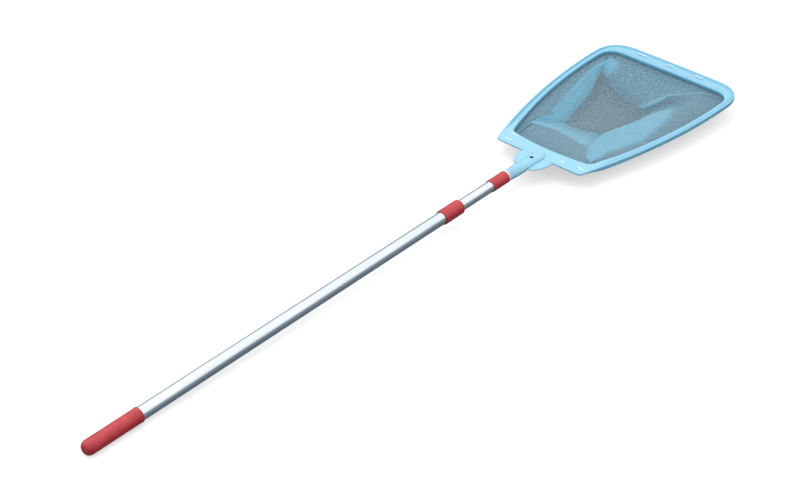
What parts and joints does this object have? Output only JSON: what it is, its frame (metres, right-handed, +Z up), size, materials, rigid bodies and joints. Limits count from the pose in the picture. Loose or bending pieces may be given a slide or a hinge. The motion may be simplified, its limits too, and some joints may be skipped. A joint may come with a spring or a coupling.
{
  "type": "leaf skimmer net",
  "caption": "Pool leaf skimmer: a shallow mesh bag in a wide blue frame, on a telescopic aluminium pole with a twist lock, red collars and a red grip.",
  "frame": {"origin": "on the floor, under the middle of the object's box", "axes": "+X along the floor from the grip towards the net, +Y to the left, +Z up"},
  "size_m": [1.854, 0.3796, 0.0538],
  "materials": {
    "red_vinyl": "satin",
    "aluminium": "satin anodised",
    "white_nylon": "matte",
    "steel": "plated",
    "blue_plastic": "glossy moulded",
    "net_mesh": "woven mesh"
  },
  "bodies": {
    "inner_pole": {"inner_tube": "aluminium", "cam_plug": "white_nylon", "cam_washer": "steel", "cam_screw": "steel", "head_collar": "red_vinyl", "socket_ring": "white_nylon", "head_rivet": "steel", "handle_socket": "blue_plastic", "hub_screw": "steel", "net_frame": "blue_plastic", "clamp_strip_near": "blue_plastic", "clamp_strip_far": "blue_plastic", "clamp_strip_left": "blue_plastic", "clamp_strip_right": "blue_plastic", "net_hem": "net_mesh", "net_bag": "net_mesh", "strip_screw_01": "steel", "strip_screw_02": "steel", "strip_screw_03": "steel", "strip_screw_04": "steel", "strip_screw_05": "steel", "strip_screw_06": "steel", "strip_screw_07": "steel", "strip_screw_08": "steel", "strip_screw_09": "steel", "strip_screw_10": "steel", "strip_screw_11": "steel"},
    "lock_ring": {"cam_ring": "white_nylon"},
    "outer_pole": {"grip": "red_vinyl", "outer_tube_plug": "white_nylon", "outer_tube": "aluminium", "lock_collar": "red_vinyl"}
  },
  "joints": [
    {"name": "twist_lock", "type": "hinge", "parent": "inner_pole", "child": "lock_ring", "pos_m": [0.07294, 0, 0.03572], "axis": [0.9998, 0, 0.0205], "range_deg": [-90, 90]},
    {"name": "telescope", "type": "slide", "parent": "lock_ring", "child": "outer_pole", "axis": [-0.9998, 0, -0.0205], "range_m": [-0.1, 0.78]}
  ]
}
